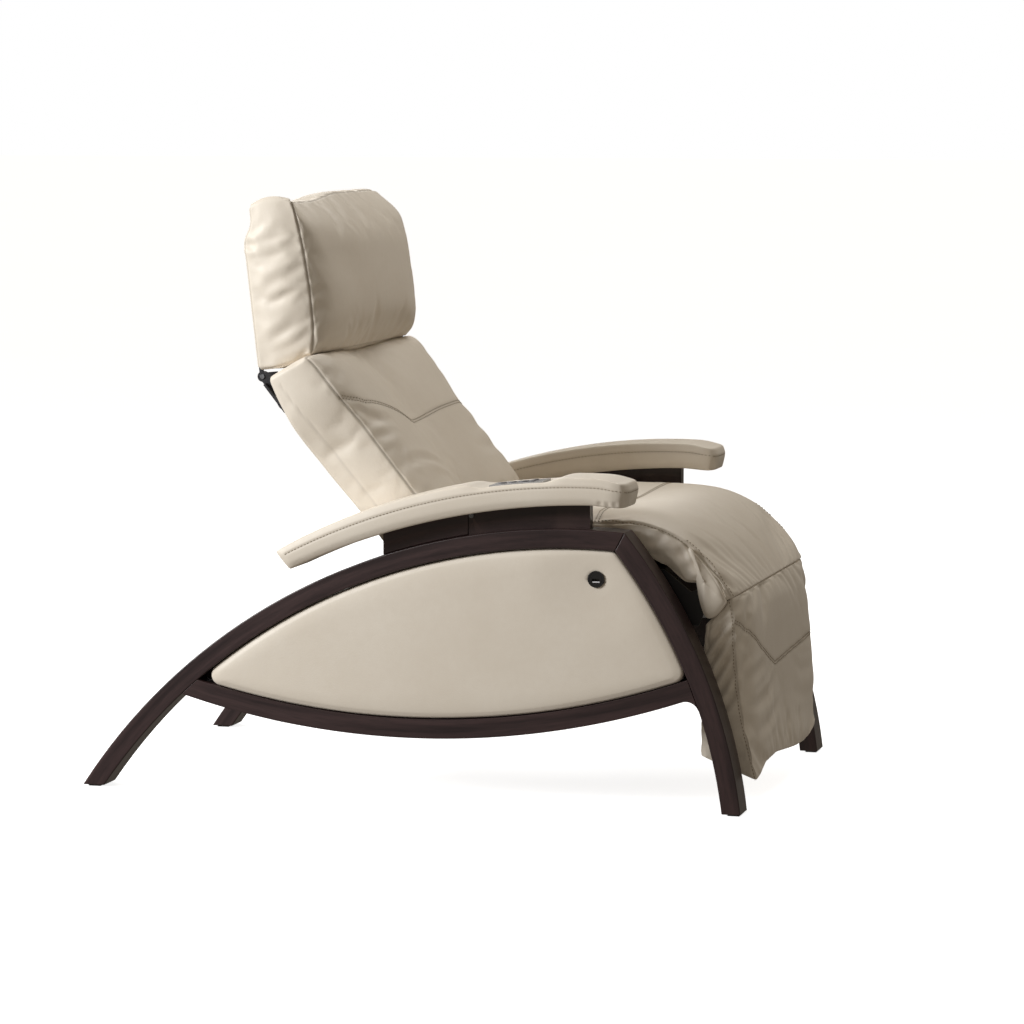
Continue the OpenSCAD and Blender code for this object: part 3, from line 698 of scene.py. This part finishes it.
def make_back():
    low, high = lean_box("back_cushion", back_lean)
    rear = lean_box("back_rear_cover", back_lean)[0][0]
    front = 0.308
    narrow = crossing("back_cushion", 2, 0.56, 1)[1] - 0.001
    wide = high[1] - 0.001
    size = (front - rear, 2 * wide, high[2] - low[2])
    points, faces, unit, grid = rounded_box(size, 0.009)
    deep = np.clip(unit[:, 0], 0, 1)
    height = low[2] + points[:, 2]
    line_low, line_high = REAR_LINE[0][0], REAR_LINE[-1][0]
    hollow = np.polyval(np.polyfit(*np.array(REAR_LINE).T, 3), np.clip(height, line_low, line_high))
    forward = rear + points[:, 0] + (1 - deep) * hollow
    half = narrow + (wide - narrow) * smooth(height, 0.54, 0.645)
    y = (points[:, 1] - wide) * half / wide
    edge = half - abs(y)
    profile = 0.021 * dome(edge, 0.055) - 0.024 * hump(y, 0, 0.115)
    profile = profile * dome(height - low[2], 0.03) * dome(high[2] - height, 0.035)
    forward = forward + smooth(unit[:, 0], 0.86, 1) * profile
    height = height + 0.012 * (1 - deep) * smooth(unit[:, 2], 0.8, 1)
    side = np.sign(y) * smooth(abs(y), half - 0.02, half)
    y = y + side * 0.003 * np.sin(np.pi * deep)
    piece = new_piece("back_cover", from_lean(np.stack([forward, y, height], 1), back_lean), faces, leather)
    seam = rim(grid, 0, -1)
    inflate(piece, np.concatenate([seam, rim(grid, 0, 0)]), pressure=1.2, slack=0.006, cap=0.008,
            free=0.12 + 0.88 * smooth(deep, 0.0, 0.3))
    subdivide(piece)
    inward = from_lean([[-1, 0, 0]], back_lean)[0]

    def draw(spots):
        """Spots (across, up) thrown onto the front of the back."""
        return throw(piece, from_lean([[front, across, up] for across, up in spots], back_lean), inward)

    for spots, width, depth in (([(-0.283, 0.585), (-0.262, 0.562), (-0.235, 0.552)], 0.008, 0.0018),
                                ([(-0.281, 0.553), (-0.240, 0.545), (-0.190, 0.537)], 0.009, 0.0019),
                                ([(-0.280, 0.522), (-0.250, 0.520), (-0.210, 0.522)], 0.009, 0.0015),
                                ([(-0.268, 0.456), (-0.225, 0.457), (-0.190, 0.456), (-0.110, 0.446),
                                  (-0.030, 0.434)], 0.009, 0.0030),
                                ([(-0.240, 0.404), (-0.160, 0.416), (-0.060, 0.414)], 0.011, 0.0016),
                                ([(0.275, 0.500), (0.230, 0.486), (0.180, 0.482)], 0.010, 0.0015),
                                ([(0.275, 0.440), (0.220, 0.436), (0.140, 0.446)], 0.011, 0.0017)):
        wrinkle(piece, draw(spots), width, depth)
    edge = get_points(piece)[seam]
    edge = np.concatenate([edge, edge[:1]])
    groove(piece, edge, 0.0019, 0.0022, 0.55)
    vee = draw([(-0.293, 0.612), (-0.25, 0.585), (-0.15, 0.561), (-0.03, 0.534), (0.04, 0.537),
                (0.10, 0.539), (0.20, 0.539), (0.25, 0.538), (0.283, 0.541)])
    lines = double_seam(piece, vee, 0.0024)
    for side in (RIGHT, LEFT):
        levels = np.linspace(low[2] + 0.012, high[2] - 0.012, 30)
        path = from_lean([[0.243, side * 0.30, up] for up in levels], back_lean)
        places, normals = on_skin(piece, path)
        groove(piece, places, 0.0016, 0.0010, 0.3)
    seams = stitches("back_stitches", piece, lines, thread)
    for part in (piece, seams):
        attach(part, "back")
    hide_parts("back_cushion", "back_side_pads", "back_rear_cover")


# ---------------------------------------------------------------- seat

def seat_path():
    """The seat's top line: flat, then round the front down to the legrest's seam."""
    low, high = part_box("seat_cushion")
    roll = arc_over("seat_cushion", (0.38, 0.42, 0.46), True)
    return low, high, roll


def make_seat():
    low, high, (centre, radius) = seat_path()
    end_angle = math.radians(21.5)
    flat = centre[0] - low.x
    length = flat + radius * (math.pi / 2 - end_angle)
    half = high.y - 0.004
    thick = high.z - low.z
    points, faces, unit, grid = rounded_box((length, 2 * half, thick), 0.010)
    s = points[:, 0]
    y = points[:, 1] - half
    depth = thick - points[:, 2]
    angle = math.pi / 2 - np.clip((s - flat) / radius, 0, None)
    thin = 1 - smooth(s, flat - 0.02, flat + 0.04) * (1 - 0.045 / thick)
    thin *= 1 - smooth(s, length - 0.075, length - 0.03) * 0.89
    out = radius + 0.004 * smooth(s, length - 0.07, length) - depth * thin
    on_flat = s < flat
    x = np.where(on_flat, low.x + s, centre[0] + out * np.cos(angle))
    z = np.where(on_flat, centre[1] + out, centre[1] + out * np.sin(angle))
    top = smooth(unit[:, 2], 0.85, 1)
    edge = half - abs(y)
    rise = 0.006 + 0.010 * smooth(s, flat, length)
    hollow = 0.008 * hump(y, 0, 0.16) * smooth(s, 0.02, 0.10) * (1 - smooth(s, 0.24, 0.36))
    crown = rise * dome(edge, 0.09) - hollow
    crown -= 0.006 * (1 - dome(s, 0.03))
    x = x + np.where(on_flat, 0, crown * top * np.cos(angle))
    z = z + crown * top * np.where(on_flat, 1, np.sin(angle))
    side = np.sign(y) * smooth(abs(y), half - 0.02, half)
    y = y + side * 0.004 * np.sin(np.pi * unit[:, 2])
    piece = new_piece("seat_cover", np.stack([x, y, z], 1), faces, leather)
    seams = [grid[:, j, -1] for j in (0, -1)]
    pins = np.concatenate(seams + [rim(grid, 2, 0), grid[-1].ravel()[grid[-1].ravel() >= 0]])
    inflate(piece, pins, pressure=1.6, slack=0.02, cap=0.012)
    subdivide(piece)
    for side in (RIGHT, LEFT):
        for angle_deg, reach, press in ((80, 0.030, 0.0016), (66, 0.034, 0.0024), (52, 0.034, 0.0028),
                                        (43, 0.030, 0.0022)):
            a = math.radians(angle_deg)
            outer = centre + (radius + 0.002) * np.array([math.cos(a), math.sin(a)])
            path = []
            for t in (0, 0.4, 1):
                inward = outer - (reach * t) * np.array([math.cos(a - 0.5), math.sin(a - 0.5)])
                path.append([inward[0], side * (half + 0.003), inward[1]])
            wrinkle(piece, path, 0.008, press)
    double = [[0.308, across, high.z] for across in np.linspace(-half + 0.012, half - 0.012, 24)]
    lines = double_seam(piece, double)
    for ids in seams:
        edge = calm(get_points(piece)[ids])
        groove(piece, edge, 0.0020, 0.0016, 0.3)
        lines += [calm(beside(piece, edge, 0.006 if ids is seams[0] else -0.006))]
        groove(piece, lines[-1], 0.0014, 0.0006, 0.2)
    sewn = stitches("seat_stitches", piece, lines, thread)
    for part in (piece, sewn):
        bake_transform(part, "base", "legrest", start=(0.470, 0, 0.445), end=(0.534, 0, 0.351))
    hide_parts("seat_cushion")


def patch(name, outline, back, face, edge_radius, crown, look, rings=26, dip=None):
    """A padded patch from a side-view outline: flat behind, rounded round its edge, crowned in front.

    back and face are Y planes; dip(x, z, depth) may change how far out each point of the face lies."""
    outline = np.asarray(outline, float)
    ahead = np.roll(outline, -1, 0) - np.roll(outline, 1, 0)
    inward = np.stack([-ahead[:, 1], ahead[:, 0]], 1) / np.linalg.norm(ahead, axis=1)[:, None]
    thick = abs(face - back)
    outward = 1 if face > back else -1
    loops = [(outline, 0.0), (outline, 0.55 * (thick - edge_radius)), (outline, thick - edge_radius)]
    for turn in (20, 42, 66, 90):
        t = math.radians(turn)
        loops.append((outline + inward * edge_radius * (1 - math.cos(t)),
                      thick - edge_radius * (1 - math.sin(t))))
    core = loops[-1][0]
    centre = core.mean(0)
    reach = np.linalg.norm(core - centre, axis=1)
    for ring in range(1, rings):
        share = ring / rings
        loops.append((core + (centre - core) * share, thick + crown * dome(share * reach, 0.05).clip(0, 1)))
    points = []
    count = len(outline)
    for loop, depth in loops:
        depth = np.broadcast_to(depth, count)
        if dip is not None:
            depth = dip(loop[:, 0], loop[:, 1], depth)
        points.append(np.stack([loop[:, 0], back + outward * depth, loop[:, 1]], 1))
    points = np.concatenate(points + [[[centre[0], back + outward * (thick + crown), centre[1]]],
                                      [[centre[0], back, centre[1]]]])
    hub, rear_hub = len(points) - 2, len(points) - 1
    faces = []
    for ring in range(len(loops) - 1):
        for k in range(count):
            a = ring * count + k
            b = ring * count + (k + 1) % count
            faces.append([a, b, b + count, a + count])
    last = (len(loops) - 1) * count
    for k in range(count):
        faces.append([last + k, last + (k + 1) % count, hub])
        faces.append([(k + 1) % count, k, rear_hub])
    if outward > 0:
        faces = [f[::-1] for f in faces]
    return new_piece(name, points, faces, look)


def loop_round(points, pitch):
    """A closed loop resampled at an even pitch."""
    points = np.asarray(points, float)
    ring = np.concatenate([points, points[:1]])
    lengths = np.concatenate([[0], np.cumsum(np.linalg.norm(np.diff(ring, axis=0), axis=1))])
    count = int(round(lengths[-1] / pitch))
    places = np.arange(count) * lengths[-1] / count
    return np.stack([np.interp(places, lengths, ring[:, k]) for k in range(2)], 1)


def soften(loop, passes):
    """Rounds the corners of a closed loop."""
    for _ in range(passes):
        loop = 0.5 * loop + 0.25 * (np.roll(loop, 1, 0) + np.roll(loop, -1, 0))
    return loop


FLAP_OUTLINE = ((0.472, 0.440), (0.477, 0.452), (0.490, 0.443), (0.507, 0.421), (0.523, 0.394),
                (0.534, 0.368), (0.538, 0.352), (0.530, 0.342), (0.515, 0.323), (0.500, 0.316),
                (0.491, 0.330), (0.484, 0.360), (0.480, 0.390), (0.476, 0.415))



def make_flaps():
    """The seat's side flaps: soft leather that hangs round the knee joint on each side."""
    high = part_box("seat_gussets")[1]
    centre, radius = seat_path()[2]
    loop = soften(loop_round(FLAP_OUTLINE, 0.004), 6)
    reach = np.linalg.norm(loop - centre, axis=1)
    loop = centre + (loop - centre) * np.minimum(1, (radius + 0.001) / reach)[:, None]
    for side, word in ((RIGHT, "right"), (LEFT, "left")):
        direction = loop[::-1] if side < 0 else loop
        piece = patch("seat_flap_" + word, direction, side * (high.y - 0.004), side * (high.y + 0.0015),
                      0.003, 0.006, leather, rings=14)
        subdivide(piece)
        y = side * (high.y + 0.008)
        wrinkle(piece, [(0.478, y, 0.444), (0.494, y, 0.415), (0.503, y, 0.375), (0.505, y, 0.340)],
                0.008, 0.0018)
        wrinkle(piece, [(0.500, y, 0.424), (0.514, y, 0.392), (0.515, y, 0.360)], 0.007, 0.0011)
        wrinkle(piece, [(0.478, y, 0.402), (0.486, y, 0.372), (0.494, y, 0.335)], 0.006, 0.0011)
        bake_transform(piece, "base", "legrest", start=(0.480, 0, 0.42), end=(0.520, 0, 0.33))
        if side < 0:
            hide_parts("seat_gussets")


# ---------------------------------------------------------------- legrest

# The legrest's cover: how far forward its sewn side edge lies at each height, how far the front
# stands beyond that edge, and the height of its hem across the chair.
SIDE_EDGE = ((0.030, 0.585), (0.061, 0.582), (0.105, 0.569), (0.150, 0.557), (0.194, 0.548), (0.247, 0.542),
             (0.288, 0.540), (0.323, 0.539), (0.352, 0.534))
FRONT_CROWN = ((0.06, 0.0), (0.105, 0.003), (0.150, 0.009), (0.194, 0.015), (0.247, 0.018), (0.288, 0.018),
               (0.323, 0.016), (0.352, 0.014))
HEM = ((-0.297, 0.050), (-0.265, 0.053), (-0.20, 0.067), (-0.11, 0.069), (-0.01, 0.060), (0.07, 0.053),
       (0.155, 0.047), (0.23, 0.047), (0.27, 0.054), (0.297, 0.066))
SIDE_FOLDS = (((0.492, 0.262), (0.512, 0.290), (0.530, 0.312), (0.540, 0.318)),
              ((0.496, 0.232), (0.515, 0.262), (0.535, 0.288), (0.548, 0.300)),
              ((0.502, 0.205), (0.520, 0.232), (0.536, 0.258), (0.550, 0.284)),
              ((0.508, 0.180), (0.526, 0.206), (0.542, 0.232), (0.554, 0.262)),
              ((0.516, 0.155), (0.532, 0.176), (0.546, 0.196), (0.556, 0.222)))
FRONT_FOLDS = (((-0.290, 0.273), (-0.275, 0.275), (-0.255, 0.277)),
               ((-0.285, 0.216), (-0.224, 0.223), (-0.151, 0.230)),
               ((-0.285, 0.170), (-0.222, 0.170), (-0.137, 0.175), (-0.088, 0.194), (-0.076, 0.207)),
               ((-0.256, 0.124), (-0.148, 0.129), (-0.049, 0.150)),
               ((-0.034, 0.077), (-0.010, 0.098), (0.015, 0.125)),
               ((0.081, 0.079), (0.106, 0.114)))
LEGREST_VEE = ((-0.290, 0.314), (-0.25, 0.294), (-0.185, 0.260), (-0.075, 0.217), (0.02, 0.221),
               (0.15, 0.225), (0.24, 0.2275), (0.288, 0.230))


def make_legrest():
    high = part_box("legrest_pad")[1]
    levels = np.array([0.09, 0.14, 0.184, 0.23, 0.284])
    rears = np.array([crossing("legrest_pad", 2, z, 0)[0] for z in levels])
    half = high.y - 0.001
    top = 0.352
    thick = 0.090
    points, faces, unit, grid = rounded_box((thick, 2 * half, 0.30), 0.009)
    y = points[:, 1] - half
    deep = np.clip(unit[:, 0], 0, 1)
    up = np.clip(unit[:, 2], 0, 1)
    hem = np.interp(y, *np.array(HEM).T) + 0.038 * (1 - deep)
    edge = half - abs(y)
    crest = top - 0.044 * (1 - deep) + 0.006 * dome(edge, 0.09) * deep
    z = hem + (crest - hem) * up
    side_x = np.interp(z, *np.array(SIDE_EDGE).T)
    swell = np.interp(z, *np.array(FRONT_CROWN).T) * dome(edge, 0.07)
    slack = 0.012 * smooth(y, 0.0, 0.25) * (1 - smooth(z, 0.06, 0.16))
    front_x = side_x + smooth(deep, 0.8, 1) * (swell - slack)
    x = np.interp(z, levels, rears) * (1 - deep) + front_x * deep
    piece = new_piece("legrest_cover", np.stack([x, y, z], 1), faces, leather)
    near_edge = grid[-1, 0, :]
    far_edge = grid[-1, -1, :]
    pins = np.concatenate([near_edge, far_edge, rim(grid, 0, 0),
                           grid[:, :, 0].ravel(), grid[:, :, -1].ravel()])
    inflate(piece, pins[pins >= 0], pressure=1.2, slack=0.02, cap=0.008)
    subdivide(piece)
    for side in (RIGHT, LEFT):
        for spots, press in zip(SIDE_FOLDS, (0.0038, 0.0043, 0.0043, 0.0038, 0.0033)):
            wrinkle(piece, [[sx, side * (half + 0.003), sz] for sx, sz in spots], 0.0055, press, 0.6)
        share = 1.0 if side == RIGHT else 0.3
        for spots, press in zip(FRONT_FOLDS, (0.0016, 0.0022, 0.0026, 0.0020, 0.0014, 0.0012)):
            path = [[0.60, -side * across, height] for across, height in spots]
            wrinkle(piece, throw(piece, path, (-1, 0, 0)), 0.0095, share * press, 0.5)
    vee = [[0.60, across, z] for across, z in LEGREST_VEE]
    lines = double_seam(piece, throw(piece, vee, (-1, 0, 0)), 0.0024)
    for ids, offset in ((near_edge, 0.003), (far_edge, -0.003)):
        edge_line = get_points(piece)[ids]
        inner = beside(piece, edge_line, offset)
        groove(piece, edge_line, 0.0017, 0.0012, 0.4)
        groove(piece, inner, 0.0014, 0.0008, 0.3)
        lines += [inner]
    for side in (RIGHT, LEFT):
        dart = [[0.504, side * (half + 0.002), 0.312], [0.502, side * (half + 0.002), 0.29],
                [0.4985, side * (half + 0.002), 0.262]]
        groove(piece, on_skin(piece, dart)[0], 0.0016, 0.0010, 0.4)
    sewn = stitches("legrest_stitches", piece, lines, thread)
    for part in (piece, sewn):
        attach(part, "legrest")
    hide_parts("legrest_pad")


# ---------------------------------------------------------------- arms and side panels

def make_arm(side, word):
    node = "arm_pad_" + word
    low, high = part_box(node)
    under = arc_over("arm_pad_left", (-0.1, 0.1, 0.3), False)
    over = arc_over("arm_pad_left", (-0.1, 0.1, 0.3), True)
    tip_low = crossing(node, 2, low.z + 0.002, 0)[0]
    tip_high = low.x
    width = high.y - low.y - 0.001
    length = high.x - low.x
    thick = 0.040
    points, faces, unit, grid = rounded_box((length, width, thick), 0.012, 0.0055)
    up = np.clip(unit[:, 2], 0, 1)
    share = unit[:, 0]
    middle = (low.y + high.y) / 2
    y = low.y + 0.0005 + points[:, 1]
    off = abs(y - middle)
    corner = 0.030
    start = tip_low + (tip_high - tip_low) * up + 0.001
    beyond = np.clip(off - (width / 2 - corner), 0, corner)
    stop = high.x - 0.0005 - (corner - np.sqrt(corner ** 2 - beyond ** 2)) * 0.7
    stop = stop - 0.007 * (1 - up) ** 1.5 - 0.005 * smooth(up, 0.7, 1)
    x = start + share * (stop - start)
    bottom = arc_height(under, x) - 0.003 * smooth(x, 0.315, 0.372)
    top = arc_height(over, x) - 0.007 * smooth(x, 0.325, 0.387) ** 1.5
    z = bottom + up * (top - bottom)
    crown = 0.0030 * dome(width / 2 - off, 0.05) * dome(share * length, 0.05)
    if side < 0:
        # The keypad lies in a shallow level bay across the pad.
        pad_low, pad_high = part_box("keypad_bezel")
        bay = smooth(x, pad_low.x - 0.042, pad_low.x - 0.004)
        bay *= 1 - smooth(x, pad_high.x + 0.004, pad_high.x + 0.042)
        out_x = np.maximum(abs(x - (pad_low.x + pad_high.x) / 2) - (pad_high.x - pad_low.x) / 2, 0)
        out_y = np.maximum(abs(y - (pad_low.y + pad_high.y) / 2) - (pad_high.y - pad_low.y) / 2, 0)
        bed = 1 - smooth(np.hypot(out_x, out_y), 0.0, 0.008)
        crown = crown * (1 - bay) - 0.0063 * bay - 0.0026 * bed
    z = z + smooth(up, 0.7, 1) * crown
    y = y + np.sign(y - middle) * smooth(off, 0.04, width / 2) * 0.0012 * np.sin(np.pi * up)
    piece = new_piece("arm_cover_" + word, np.stack([x, y, z], 1), faces, leather)
    subdivide(piece)
    outer = 0 if side < 0 else -1
    inner = -1 - outer
    row = -4
    path = np.concatenate([grid[3:-3, outer, row], grid[-1, 3:-3, row][::-side],
                           grid[3:-3, inner, row][::-1]])
    path = get_points(piece)[path]
    for start_x in (0.338, 0.351, 0.363):
        base = arc_height(under, start_x) - 0.004
        y_out = low.y if side < 0 else high.y
        wrinkle(piece, [(start_x, y_out, base), (start_x + 0.003, y_out, base + 0.012)], 0.004, 0.0010)
    groove(piece, path, 0.0016, 0.0010, 0.3)
    sewn = stitches("arm_stitches_" + word, piece, [path], thread)
    for part in (piece, sewn):
        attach(part, "base")
    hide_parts(node)


def hull(points):
    """Outline round a set of side-view points, in order."""
    points = sorted({(round(x, 6), round(z, 6)) for x, z in points})

    def half(run):
        kept = []
        for p in run:
            while len(kept) > 1 and ((kept[-1][0] - kept[-2][0]) * (p[1] - kept[-2][1])
                                     - (kept[-1][1] - kept[-2][1]) * (p[0] - kept[-2][0])) <= 0:
                kept.pop()
            kept.append(p)
        return kept[:-1]
    return np.array(half(points) + half(points[::-1]))


def make_panel(side, word):
    node = "side_panel_pad_" + word
    low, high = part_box(node)
    face = low.y if side < 0 else high.y
    back = high.y if side < 0 else low.y
    outline = hull(node_points(node)[:, [0, 2]])
    centre = outline.mean(0)
    outline = outline + (centre - outline) / np.linalg.norm(outline - centre, axis=1)[:, None] * 0.0012
    loop = loop_round(outline, 0.005)
    socket_low, socket_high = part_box("charging_socket")
    sx = (socket_low.x + socket_high.x) / 2
    sz = (socket_low.z + socket_high.z) / 2
    thick = abs(face - back)

    def dip(x, z, depth):
        distance = np.hypot(x - sx, z - sz)
        depth = depth - np.maximum(depth - thick, 0) * (1 - smooth(distance, 0.014, 0.12))
        rim_dip = 0.0005 * (1 - smooth(distance, 0.014, 0.03))
        return depth - rim_dip - 0.028 * (1 - smooth(distance, 0.0065, 0.0112))

    direction = loop if side < 0 else loop[::-1]
    piece = patch("side_panel_cover_" + word, direction, back, face, 0.006, 0.0035, leather, rings=60,
                  dip=dip if side < 0 else None)
    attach(piece, "base")
    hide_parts(node)


# ---------------------------------------------------------------- studio

def make_floor():
    size = 60.0
    floor = bpy.data.objects.new("studio_floor", bpy.data.meshes.new("studio_floor"))
    corners = [(-size, -size, 0), (size, -size, 0), (size, size, 0), (-size, size, 0)]
    floor.data.from_pydata(corners, [], [(0, 1, 2, 3)])
    bpy.context.scene.collection.objects.link(floor)
    look = Look("studio_floor", Roughness=0.9, Emission_Strength=0.85, Specular_IOR_Level=0.1)
    clouds = look.spread(look.noise(0.8, 2), 0, 1)
    look.set("Base Color", look.mix(clouds, rgb(238, 238, 238), rgb(233, 233, 234)))
    look.set("Emission Color", (1, 1, 1, 1))
    floor.data.materials.append(look.material)
    floor.visible_diffuse = False
    floor.visible_glossy = False


def add_light(name, place, target, size, power, tint=(1, 1, 1)):
    data = bpy.data.lights.new(name, "AREA")
    data.shape = "SQUARE"
    data.size = size
    data.energy = power
    data.color = tint
    light = bpy.data.objects.new(name, data)
    light.location = place
    light.rotation_euler = (Vector(target) - Vector(place)).to_track_quat("-Z", "Y").to_euler()
    bpy.context.scene.collection.objects.link(light)


def make_studio():
    scene = bpy.context.scene
    scene.view_settings.view_transform = "Standard"
    world = bpy.data.worlds.new("studio")
    scene.world = world
    world.use_nodes = True
    nodes = world.node_tree.nodes
    links = world.node_tree.links
    seen = nodes.new("ShaderNodeLightPath")
    ambient = nodes["Background"]
    ambient.inputs["Color"].default_value = (1.0, 0.89, 0.75, 1)
    ambient.inputs["Strength"].default_value = 0.21
    backdrop = nodes.new("ShaderNodeBackground")
    backdrop.inputs["Color"].default_value = (1, 1, 1, 1)
    mix = nodes.new("ShaderNodeMixShader")
    links.new(seen.outputs["Is Camera Ray"], mix.inputs[0])
    links.new(ambient.outputs[0], mix.inputs[1])
    links.new(backdrop.outputs[0], mix.inputs[2])
    links.new(mix.outputs[0], nodes["World Output"].inputs["Surface"])
    chair = (0, 0, 0.5)
    add_light("key_light", (-2.7, -2.3, 1.9), chair, 1.6, 150, (0.98, 0.99, 1.0))
    add_light("top_light", (0.6, 1.4, 3.4), chair, 1.8, 48, (1, 0.98, 0.94))
    add_light("fill_light", (-2.6, 3.8, 1.8), chair, 2.6, 40)


def make_camera():
    data = bpy.data.cameras.new("camera")
    camera = bpy.data.objects.new("camera", data)
    data.sensor_width = 36
    data.lens = 142.1
    data.clip_end = 200
    yaw = math.radians(15.17)
    pitch = math.radians(6.0)
    camera.location = (1.9227, -6.7825, 1.1932)
    ahead = Vector((-math.sin(yaw) * math.cos(pitch), math.cos(yaw) * math.cos(pitch), -math.sin(pitch)))
    camera.rotation_euler = ahead.to_track_quat("-Z", "Y").to_euler()
    bpy.context.scene.collection.objects.link(camera)
    bpy.context.scene.camera = camera


make_camera()
make_studio()
make_floor()
dress_cad_nodes()
make_pillow()
make_back()
make_seat()
make_flaps()
make_legrest()
for arm_side, arm_word in ((RIGHT, "right"), (LEFT, "left")):
    make_arm(arm_side, arm_word)
    make_panel(arm_side, arm_word)
